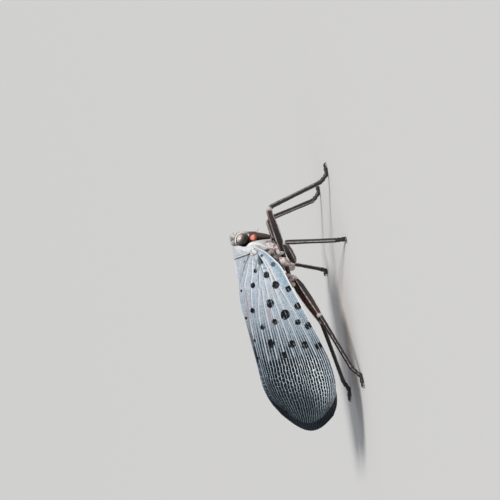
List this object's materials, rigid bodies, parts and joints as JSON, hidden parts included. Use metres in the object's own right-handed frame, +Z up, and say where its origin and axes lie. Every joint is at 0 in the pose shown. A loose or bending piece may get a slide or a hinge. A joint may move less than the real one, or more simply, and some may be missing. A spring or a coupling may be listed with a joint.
{
  "type": "spotted lanternfly",
  "caption": "Still life-size adult spotted lanternfly standing on its feet, with spotted forewings folded like a roof over the body.",
  "frame": {"origin": "on the floor, under the middle of the whole insect", "axes": "+Y towards the tail and the wing tips, +X to the insect's left, +Z up from the floor"},
  "size_m": [0.0236, 0.0318, 0.0128],
  "materials": {
    "pale_cuticle": "satin, waxy",
    "dark_cuticle": "satin",
    "eye": "glossy",
    "antenna": "satin",
    "abdomen": "satin, waxy",
    "forewing": "satin",
    "hindwing": "satin"
  },
  "bodies": {
    "root": {"head": "pale_cuticle", "eye_l": "eye", "eye_r": "eye", "antenna_l": "antenna", "antenna_r": "antenna", "rostrum": "dark_cuticle", "prothorax": "pale_cuticle", "thorax": "dark_cuticle", "scutellum": "pale_cuticle", "tegula_l": "pale_cuticle", "tegula_r": "pale_cuticle", "abdomen": "abdomen", "forewing_l": "forewing", "forewing_r": "forewing", "hindwing_l": "hindwing", "hindwing_r": "hindwing", "fore_l_coxa": "dark_cuticle", "fore_l_femur": "dark_cuticle", "fore_l_tibia": "dark_cuticle", "fore_l_tarsus": "dark_cuticle", "fore_r_coxa": "dark_cuticle", "fore_r_femur": "dark_cuticle", "fore_r_tibia": "dark_cuticle", "fore_r_tarsus": "dark_cuticle", "mid_l_coxa": "dark_cuticle", "mid_l_femur": "dark_cuticle", "mid_l_tibia": "dark_cuticle", "mid_l_tarsus": "dark_cuticle", "mid_r_coxa": "dark_cuticle", "mid_r_femur": "dark_cuticle", "mid_r_tibia": "dark_cuticle", "mid_r_tarsus": "dark_cuticle", "hind_l_coxa": "dark_cuticle", "hind_l_femur": "dark_cuticle", "hind_l_tibia": "dark_cuticle", "hind_l_tarsus": "dark_cuticle", "hind_r_coxa": "dark_cuticle", "hind_r_femur": "dark_cuticle", "hind_r_tibia": "dark_cuticle", "hind_r_tarsus": "dark_cuticle"}
  },
  "joints": []
}
